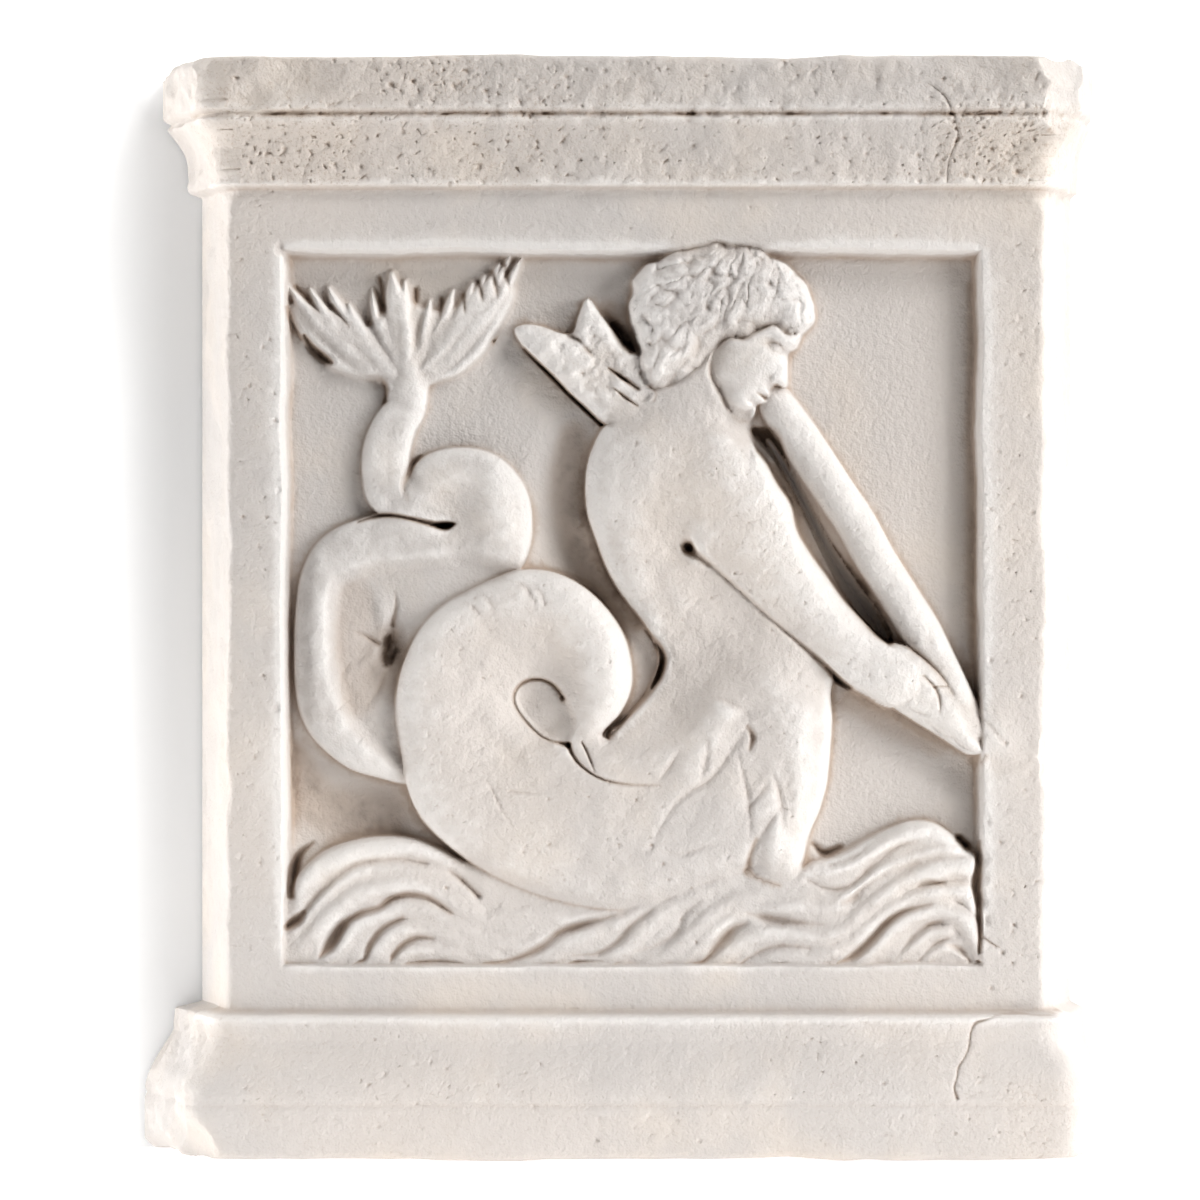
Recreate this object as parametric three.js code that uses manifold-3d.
// A marble wall plaque in the form of a small altar front: a plinth with a cyma moulding, a plain die
// with a sunk panel, and a cornice. The panel holds a sea creature in low relief, a youth to the hips
// and a coiled fish below, above a band of waves. It is carved from one block.
//
// Millimetres, +Z up. The origin is the middle of the flat back, the front faces -Y, +X is to the right.

import * as THREE from "three";
import { mergeVertices } from "three/addons/utils/BufferGeometryUtils.js";
import Module from "manifold-3d";

const wasm = await Module();
wasm.setup();

// ---- driving dimensions ----------------------------------------------------------------------------

const block = {
  height: 330,
  dieDepth: 40, // from the wall to the plain front of the die
  frontHalf: 122.5, // half the width of the die at its front
  backHalf: 132.5, // the sides flare towards the wall
  frontReturn: 0.9, // how far a moulding returns sideways for each mm that it stands forward
  cornice: { reach: 10, foot: 125.5, neck: 134, groove: 147, left: 1.2, right: 0.65 },
  base: { reach: 11, top: -120.5, neck: -129, groove: -148, left: 1.6, right: 0.75 },
};

const panel = { left: -106, right: 103, bottom: -107, top: 107, depth: 9, wallSlope: 3 };

const marble = new THREE.MeshStandardMaterial({ color: 0xe6dfd8, roughness: 0.62, metalness: 0 });

// ---- solids ----------------------------------------------------------------------------------------

// Turns a closed three.js geometry into a solid that can be joined and cut.
function solid(geometry) {
  const bare = geometry.clone();
  bare.deleteAttribute("normal");
  bare.deleteAttribute("uv");
  const merged = mergeVertices(bare, 1e-4);
  const corners = Array.from(merged.index.array);
  const faces = [];
  for (let i = 0; i < corners.length; i += 3) {
    const [a, b, c] = corners.slice(i, i + 3);
    if (a !== b && b !== c && c !== a) faces.push(a, b, c);
  }
  return new wasm.Manifold(
    new wasm.Mesh({
      numProp: 3,
      vertProperties: new Float32Array(merged.attributes.position.array),
      triVerts: new Uint32Array(faces),
    }),
  );
}

function geometryOf(manifold) {
  const mesh = manifold.getMesh();
  const geometry = new THREE.BufferGeometry();
  geometry.setAttribute("position", new THREE.BufferAttribute(mesh.vertProperties, 3));
  geometry.setIndex(new THREE.BufferAttribute(mesh.triVerts, 1));
  geometry.computeVertexNormals();
  return geometry;
}

// Moves every corner of a geometry by a function of its place.
function reshape(geometry, move) {
  const position = geometry.attributes.position;
  const point = new THREE.Vector3();
  for (let i = 0; i < position.count; i += 1) {
    point.fromBufferAttribute(position, i);
    move(point);
    position.setXYZ(i, point.x, point.y, point.z);
  }
  return geometry;
}

const joinAll = (solids) => solids.reduce((whole, next) => whole.add(next));

// A place in the relief: along the panel, up the panel, and out from the panel's floor.
const panelFloor = block.dieDepth - panel.depth;
const inRelief = (x, z, out) => new THREE.Vector3(x, -(panelFloor + out), z);

// A rounded form that follows a route of [x, z, half its width, height of its crest], like a limb, a
// coil of the tail or a wave. Its section is an ellipse whose lower part is buried in the panel.
function limb(route, { sides = 10, steps = 3, roundness = 0.8 } = {}) {
  const thickness = (width, crest) => THREE.MathUtils.clamp(width * roundness, crest * 0.6, crest);
  const middle = new THREE.CatmullRomCurve3(
    route.map(([x, z, width, crest]) => inRelief(x, z, crest - thickness(width, crest))),
  );
  const section = new THREE.CatmullRomCurve3(
    route.map(([, , width, crest]) => new THREE.Vector3(width, thickness(width, crest), 0)),
  );
  const outward = new THREE.Vector3(0, -1, 0);
  const shape = new THREE.CapsuleGeometry(1, 1, 2, sides, steps * (route.length - 1));
  return solid(
    reshape(shape, (point) => {
      const along = THREE.MathUtils.clamp(point.y + 0.5, 0, 1);
      const pastTheEnd = point.y - (along - 0.5);
      const size = section.getPoint(along);
      const forward = middle.getTangent(along);
      const sideways = new THREE.Vector3().crossVectors(forward, outward).normalize();
      const across = point.x * size.x;
      const out = point.z * size.y;
      point
        .copy(middle.getPoint(along))
        .addScaledVector(forward, pastTheEnd * size.x)
        .addScaledVector(sideways, across)
        .addScaledVector(outward, out);
    }),
  );
}

// An egg-shaped form: [x, z] of its middle, its half sizes along and across, its crest and its turn.
function boss(x, z, along, across, crest, turn = 0, detail = 2) {
  const shape = new THREE.IcosahedronGeometry(1, detail);
  shape.scale(along, crest, across);
  shape.rotateY(THREE.MathUtils.degToRad(turn));
  const middle = inRelief(x, z, 0);
  shape.translate(middle.x, middle.y, middle.z);
  return solid(shape);
}

// ---- the moulded block -----------------------------------------------------------------------------

// How far the block's front stands out from the die at each height, from the underside to the top.
function mouldingProfile() {
  const { base, cornice, height } = block;
  const profile = new THREE.Path();
  profile.moveTo(base.reach - 0.6, -height / 2);
  profile.lineTo(base.reach, -height / 2 + 1.5);
  profile.lineTo(base.reach, base.groove - 1);
  profile.lineTo(base.reach - 1.4, base.groove);
  const neckReach = base.reach / 2;
  profile.bezierCurveTo(base.reach - 1, base.groove + 9, neckReach, base.neck - 6, neckReach, base.neck);
  profile.lineTo(neckReach - 0.6, base.top - 2.5);
  profile.lineTo(0.4, base.top);
  profile.lineTo(0, base.top + 1.5);
  profile.lineTo(0, cornice.foot - 1.5);
  profile.lineTo(cornice.reach * 0.3, cornice.foot);
  profile.lineTo(cornice.reach * 0.36, cornice.neck);
  profile.quadraticCurveTo(cornice.reach * 0.45, cornice.groove - 4, cornice.reach - 1, cornice.groove - 1.5);
  profile.lineTo(cornice.reach - 1.8, cornice.groove);
  profile.lineTo(cornice.reach, cornice.groove + 1.2);
  profile.lineTo(cornice.reach, height / 2 - 2);
  profile.lineTo(cornice.reach - 1.5, height / 2);
  return profile.getPoints(5);
}

// The block is a box with one row of corners for each point of the profile.
function mouldedBlock() {
  const profile = mouldingProfile();
  const rows = profile.length - 1;
  const shape = new THREE.BoxGeometry(2, 1, rows, 1, 1, rows);
  shape.translate(0, -0.5, rows / 2);
  return solid(
    reshape(shape, (point) => {
      const { x: reach, y: height } = profile[Math.round(point.z)];
      const moulding = height > 0 ? block.cornice : block.base;
      const spread = point.x < 0 ? moulding.left : moulding.right;
      const atFront = point.y < -0.5;
      const half = atFront
        ? block.frontHalf + block.frontReturn * reach
        : block.backHalf + spread * reach;
      point.set(Math.sign(point.x) * half, atFront ? -(block.dieDepth + reach) : 0, height);
    }),
  );
}

// The sunk panel, whose walls lean out a little towards the front.
function panelCut() {
  const cutHeight = panel.depth * 2;
  const shape = new THREE.BoxGeometry(1, cutHeight, 1);
  shape.translate(0.5, -panelFloor - cutHeight / 2, 0.5);
  return solid(
    reshape(shape, (point) => {
      const out = -point.y - panelFloor;
      const lean = (out / panel.depth - 1) * panel.wallSlope;
      const x = point.x > 0.5 ? panel.right + lean : panel.left - lean;
      const z = point.z > 0.5 ? panel.top + lean : panel.bottom - lean;
      point.set(x, point.y, z);
    }),
  );
}

// ---- the creature ----------------------------------------------------------------------------------

function torso() {
  const trunk = limb(
    [
      [13, 50, 19, 8.5],
      [10, 33, 24, 10],
      [15, 13, 22, 10],
      [26, -6, 21, 10],
      [33, -24, 25, 10.5],
      [38, -42, 20, 10.5],
      [43, -60, 12, 10],
      [42, -74, 8, 9],
    ],
    { sides: 14, steps: 2, roundness: 0.5 },
  );
  const neck = limb([
    [12, 58, 10, 9],
    [24, 72, 11, 9.5],
  ]);
  const shoulder = boss(3, 49, 14, 10, 10.5);
  const flank = limb([[24, -20, 16, 9], [13, -34, 15, 9.5], [3, -46, 11, 9]], { sides: 10, roundness: 0.5 });
  const forefoot = boss(41, -81, 9, 4, 8, 4);
  return [trunk, neck, shoulder, flank, forefoot];
}

function arms() {
  const near = limb(
    [
      [16, 42, 12, 9],
      [24, 36, 15, 12],
      [34, 22, 13, 11.5],
      [44, 10, 11, 11],
      [54, -3, 10, 10.5],
      [64, -13, 9, 10],
      [74, -21, 8, 9.5],
      [82, -26, 8.5, 9.5],
      [92, -34, 6.5, 9.5],
      [102, -42, 3, 9],
    ],
    { sides: 10, steps: 2, roundness: 0.7 },
  );
  const far = limb([
    [44, 57, 7, 6.5],
    [58, 33, 7, 7],
    [70, 13, 7, 7],
    [84, -7, 6.5, 7.5],
    [95, -26, 6, 8],
    [101, -38, 4.5, 8.5],
  ], { sides: 8, steps: 2 });
  return [near, far];
}

// The fish body leaves the hips, runs round to the left, over the top and curls into its own eye.
function coil() {
  return limb(
    [
      [30, -46, 17, 9],
      [18, -63, 18, 9.5],
      [0, -71.5, 18.5, 9.5],
      [-19, -70, 20, 9.5],
      [-36, -61, 21.5, 9.5],
      [-49, -45, 20, 9.5],
      [-54, -27, 17.5, 9.5],
      [-47, -10, 17, 9],
      [-31, -5, 16, 8.5],
      [-17, -10, 13.5, 8],
      [-12, -22, 10.5, 7.5],
      [-16, -33, 8, 6.5],
      [-26, -36.5, 5, 5.5],
      [-33, -30, 4, 4.5],
      [-30, -24, 3.5, 4],
    ],
    { sides: 12, steps: 2, roundness: 0.6 },
  );
}

function tail() {
  return limb(
    [
      [-72, -46, 10, 5],
      [-82, -37, 13, 6],
      [-88.5, -22, 13.5, 6.5],
      [-90, -4, 13, 6.5],
      [-86, 11, 12, 6.5],
      [-71, 16.5, 11, 6.5],
      [-54, 14, 11, 6.5],
      [-43, 21, 11, 7],
      [-43, 32, 10.5, 7],
      [-54, 37, 10, 7],
      [-66, 34, 8.5, 6.5],
      [-75, 38, 7, 6],
      [-75, 48, 7, 6],
      [-70, 58, 6, 5.5],
      [-68, 67, 5.5, 5],
    ],
    { sides: 10, steps: 2, roundness: 0.6 },
  );
}

// Rays fan out from the end of the tail to their tips and together make the fluke.
function fluke() {
  const root = { x: -68, z: 64 };
  const rayTips = [
    [-103, 84],
    [-104, 96],
    [-98, 95],
    [-92, 95.5],
    [-80, 95],
    [-73.5, 100],
    [-66, 93],
    [-55, 94],
    [-46, 98],
    [-37, 104],
    [-36, 92],
  ];
  return rayTips.map(([x, z]) => {
    const sideways = x - root.x;
    const upwards = z - root.z;
    return limb(
      [
        [root.x, root.z, 4.5, 5],
        [root.x + sideways * 0.4, root.z + upwards * 0.25, 4.5, 4.5],
        [root.x + sideways * 0.75, root.z + upwards * 0.6, 4, 4],
        [x, z, 1.2, 3.5],
      ],
      { sides: 6, steps: 2 },
    );
  });
}

// A stubby, broken form that stands up behind the shoulder: two rolls side by side and a stump.
function shoulderStub() {
  const sides = { sides: 6, steps: 2 };
  const lowerRoll = limb([[-33, 80.5, 2.5, 4], [-20, 69, 4.5, 6], [-4, 57, 5.5, 7]], sides);
  const upperRoll = limb([[-30, 83, 2, 4], [-17, 77, 5, 6.5], [2, 64, 6, 7.5]], sides);
  const stump = limb([[-14.5, 89, 2.5, 5.5], [-10, 81, 6, 7], [0, 69, 7, 7]], sides);
  return [lowerRoll, upperRoll, stump];
}

// ---- the head --------------------------------------------------------------------------------------

// The head is set out in its own frame, in fractions of its height from crown to chin: the eyes lie on
// the half, the brow and the end of the nose on the thirds below the hair.
const head = { x: 28, z: 85, height: 48, bow: 30, crest: 11 };

function headPoint(forward, up) {
  const bow = THREE.MathUtils.degToRad(head.bow);
  const ahead = forward * head.height;
  const above = up * head.height;
  return [
    head.x + ahead * Math.cos(bow) + above * Math.sin(bow),
    head.z - ahead * Math.sin(bow) + above * Math.cos(bow),
  ];
}

function headForm(forward, up, along, across, crest, turn = 0, detail = 1) {
  const [x, z] = headPoint(forward, up);
  return boss(x, z, along * head.height, across * head.height, crest, head.bow + turn, detail);
}

function faceAndSkull() {
  const nose = limb(
    [
      [...headPoint(0.35, 0.03), 2.2, 8.5],
      [...headPoint(0.4, -0.08), 2.4, 9],
      [...headPoint(0.42, -0.16), 3, 9],
    ],
    { sides: 8 },
  );
  return [
    headForm(-0.02, 0.06, 0.42, 0.42, head.crest, 0, 2), // skull
    headForm(0.18, -0.14, 0.23, 0.3, head.crest - 1, 0, 2), // cheek
    headForm(0.25, -0.1, 0.17, 0.25, head.crest - 1.5), // front of the face
    headForm(0.25, 0.06, 0.15, 0.06, head.crest - 1, -8), // brow
    nose,
    headForm(0.37, -0.245, 0.06, 0.035, head.crest - 2.5), // upper lip
    headForm(0.36, -0.3, 0.055, 0.035, head.crest - 2.5), // lower lip
    headForm(0.3, -0.42, 0.1, 0.085, head.crest - 2.5), // chin
    headForm(0.12, -0.36, 0.2, 0.1, head.crest - 2, 18), // jaw
  ];
}

// Short curls in rings over the skull, from the forehead over the crown to the nape.
const hair = { x: 25.5, z: 87.5, across: 24.5, up: 18.5, rings: 4, lockLength: 4.6, lockWidth: 2.7 };

function lock(x, z, crest, turn) {
  const shape = new THREE.SphereGeometry(1, 7, 4);
  shape.scale(hair.lockLength, crest, hair.lockWidth);
  shape.rotateY(THREE.MathUtils.degToRad(turn));
  const middle = inRelief(x, z, 0);
  shape.translate(middle.x, middle.y, middle.z);
  return solid(shape);
}

function curls() {
  const locks = [];
  for (let ring = 0; ring <= hair.rings; ring += 1) {
    const share = ring / hair.rings;
    const count = Math.max(Math.round(5 * ring), 1);
    for (let i = 0; i < count; i += 1) {
      const angle = (2 * Math.PI * (i + (ring % 2) / 2)) / count;
      const x = hair.x + hair.across * share * Math.cos(angle);
      const z = hair.z + hair.up * share * Math.sin(angle);
      const onFace = (x > 33 && z < 83) || (x > 17 && z < 74);
      if (onFace) continue;
      const crest = head.crest * Math.sqrt(1 - (share * 0.85) ** 2) + 1.2 + ((i * 7 + ring * 3) % 5) * 0.25;
      locks.push(lock(x, z, crest, 50 + i * 47));
    }
  }
  return locks;
}

// ---- the waves -------------------------------------------------------------------------------------

function waves() {
  const bed = limb(
    [
      [-98, -94, 13, 4.5],
      [-70, -92, 17, 5.5],
      [-35, -97, 15, 5],
      [0, -99, 13, 4.5],
      [35, -96, 15, 5],
      [70, -92, 17, 5.5],
      [97, -92, 14, 5],
    ],
    { sides: 8, steps: 2, roundness: 0.3 },
  );
  const crests = [
    [[-103, -85, 2], [-90, -76, 3.5], [-74, -72.5, 3.5], [-60, -75, 3], [-50, -80, 2.5]],
    [[-104, -102, 2], [-95, -91, 3.5], [-80, -80, 3.5], [-66, -79.5, 3.5], [-48, -88, 3.5], [-30, -98, 2.5]],
    [[-90, -105, 2.5], [-82, -93, 3.5], [-66, -89.5, 3.5], [-50, -96, 3.5], [-34, -104, 2.5]],
    [[-78, -106, 2.5], [-70, -97, 3], [-56, -101, 3], [-42, -106, 2]],
    [[-36, -106, 2.5], [-20, -101, 3.5], [-2, -95, 3.5], [14, -87, 3], [30, -82, 2.5]],
    [[-8, -106, 2], [4, -99, 3.5], [20, -93, 3.5], [36, -86, 3], [50, -84, 2.5]],
    [[18, -106, 2.5], [32, -99, 3.5], [48, -97, 3.5], [62, -88, 3.5], [80, -79, 3.5], [99, -76, 3]],
    [[46, -106, 2.5], [60, -100, 3.5], [74, -90, 3.5], [90, -85, 3.5], [101, -88, 3]],
    [[66, -106, 2.5], [78, -97, 3.5], [92, -93, 3], [102, -99, 2.5]],
    [[54, -77, 2], [63, -78, 3], [72, -74, 2.5], [79, -70, 1.5]],
    [[84, -106, 2], [93, -101, 3], [102, -105, 2]],
  ];
  const ridges = crests.map((crest) =>
    limb(
      crest.map(([x, z, width]) => [x, z, width, 5.5 + width]),
      { sides: 6, steps: 2, roundness: 1 },
    ),
  );
  return [bed, ...ridges];
}

// ---- damage ----------------------------------------------------------------------------------------

// A blunt wedge of stone that has broken away, centred on a point of the block.
function chip(x, y, z, size, turn = [0, 0, 0], stretch = [1, 1, 1]) {
  const shape = new THREE.IcosahedronGeometry(size, 1);
  shape.scale(...stretch);
  const turns = turn.map(THREE.MathUtils.degToRad);
  shape.applyMatrix4(new THREE.Matrix4().makeRotationFromEuler(new THREE.Euler(...turns)));
  shape.translate(x, y, z);
  return solid(shape);
}

function chips() {
  const corniceFront = -(block.dieDepth + block.cornice.reach);
  const plinthFront = -(block.dieDepth + block.base.reach);
  const top = block.height / 2;
  return [
    chip(-121, corniceFront - 1, 155, 8, [0, 10, 0], [1.1, 0.7, 0.6]),
    chip(-138, corniceFront, top - 1, 8, [20, 35, 0]),
    chip(-121, corniceFront - 2, top + 2, 6, [0, -30, 0], [1.4, 1, 0.8]),
    chip(-66, corniceFront - 2, top + 2, 6, [0, -40, 0], [0.8, 1, 1.2]),
    chip(-3, corniceFront - 2, top + 2.5, 6, [0, -40, 0], [0.8, 1, 1.2]),
    chip(60, corniceFront - 2, top + 2, 6, [0, 30, 0], [0.8, 1, 1.2]),
    chip(97, corniceFront - 2, top - 2, 9, [0, 0, 0], [1.6, 0.5, 0.9]),
    chip(136, corniceFront - 1, top, 10, [0, 30, 0], [1, 1, 1.3]),
    chip(133, corniceFront - 1, 134, 8, [0, 0, 0], [0.9, 1, 1.6]),
    chip(-136, plinthFront - 2, -161, 9, [0, 20, 0], [1, 1, 1.2]),
    chip(125, -block.dieDepth - 1, -40, 5, [0, 0, 0], [0.8, 0.8, 2]),
    chip(124, -block.dieDepth - 1, -95, 4, [0, 0, 0], [0.8, 0.8, 1.6]),
  ];
}

// The crack that runs down through the mouldings of the base near its right end.
function baseCrack() {
  const width = 0.9;
  const line = [
    [130, -119],
    [105, -121.5],
    [99.5, -129],
    [95, -139.5],
    [95.5, -147],
  ];
  const there = line.map(([x, z]) => new THREE.Vector2(x, z));
  const back = line.map(([x, z]) => new THREE.Vector2(x - width, z + width)).reverse();
  const shape = new THREE.ExtrudeGeometry(new THREE.Shape([...there, ...back]), {
    depth: block.base.reach + 2,
    bevelEnabled: false,
  });
  shape.rotateX(Math.PI / 2);
  shape.translate(0, -block.dieDepth + 2, 0);
  return solid(shape);
}

// ---- the plaque ------------------------------------------------------------------------------------

const creature = [...torso(), ...arms(), coil(), tail(), ...fluke(), ...shoulderStub()];
const headOfHair = [...faceAndSkull(), ...curls()];
const losses = [...chips(), baseCrack()];
const carved = mouldedBlock()
  .subtract(panelCut())
  .add(joinAll([...creature, ...headOfHair, ...waves()]))
  .subtract(joinAll(losses));

const plaque = new THREE.Mesh(geometryOf(carved), marble);
plaque.name = "relief_plaque";

const group = new THREE.Group();
group.add(plaque);

export default group;
